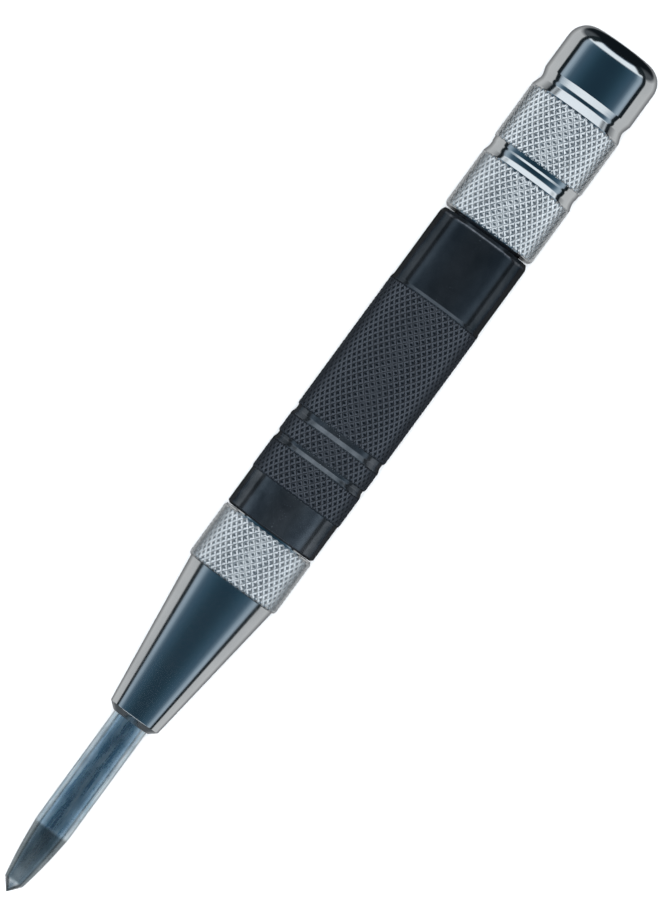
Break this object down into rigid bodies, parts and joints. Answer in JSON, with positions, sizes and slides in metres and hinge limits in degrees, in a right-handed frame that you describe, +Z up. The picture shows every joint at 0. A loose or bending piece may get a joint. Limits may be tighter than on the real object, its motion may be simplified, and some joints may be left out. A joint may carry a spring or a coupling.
{
  "type": "center punch",
  "caption": "Spring-loaded center punch with a tapered steel point, chromed nose cone, knurled black handle and knurled adjusting cap.",
  "frame": {"origin": "centre of the tool's length, on the surface that the tool lies on, straight below its axis", "axes": "+X along the tool from the point to the cap, +Z up from the surface it lies on, +Y to the side"},
  "size_m": [0.13, 0.0132, 0.0133],
  "materials": {
    "chrome": "polished chrome plate, with bright diamond knurling",
    "black_oxide": "black oxide, oiled, semi-gloss",
    "blued_steel": "hardened and blued, with fine turning marks and a ground tip",
    "ground_steel": "ground and polished",
    "spring_steel": "drawn spring wire"
  },
  "bodies": {
    "handle": {"handle": "black_oxide", "nose_cone": "chrome", "guide_bush": "ground_steel"},
    "point": {"punch_point": "blued_steel", "plunger": "ground_steel", "trip_pin": "ground_steel", "return_spring": "spring_steel"},
    "hammer": {"hammer": "ground_steel", "sear_spring": "spring_steel", "main_spring": "spring_steel"},
    "sear": {"sear": "ground_steel"},
    "spring_seat": {"spring_seat": "ground_steel"},
    "adjusting_cap": {"adjusting_cap": "chrome"}
  },
  "joints": [
    {"name": "point_press", "type": "slide", "parent": "handle", "child": "point", "axis": [1, 0, 0], "range_m": [0, 0.009], "stiffness_N_per_m": 1500, "springref_m": -0.004, "deforming": ["return_spring"]},
    {"name": "hammer_lift", "type": "slide", "parent": "handle", "child": "hammer", "axis": [1, 0, 0], "range_m": [0, 0.009], "deforming": ["main_spring"]},
    {"name": "sear_shift", "type": "slide", "parent": "hammer", "child": "sear", "axis": [0, 0, -1], "range_m": [0, 0.0009], "deforming": ["sear_spring"]},
    {"name": "cap_travel", "type": "slide", "parent": "handle", "child": "spring_seat", "axis": [1, 0, 0], "range_m": [0, 0.004]},
    {"name": "cap_turn", "type": "hinge", "parent": "spring_seat", "child": "adjusting_cap", "pos_m": [0.05, 0, 0.00664], "axis": [1, 0, 0], "range_deg": [0, 1440]}
  ],
  "couplings": [
    {"joint": "hammer_lift", "follows": "point_press", "ratio": 1},
    {"joint": "sear_shift", "follows": "point_press", "ratio": 0.1},
    {"joint": "cap_turn", "follows": "cap_travel", "rad_per_m": 6283.2}
  ]
}
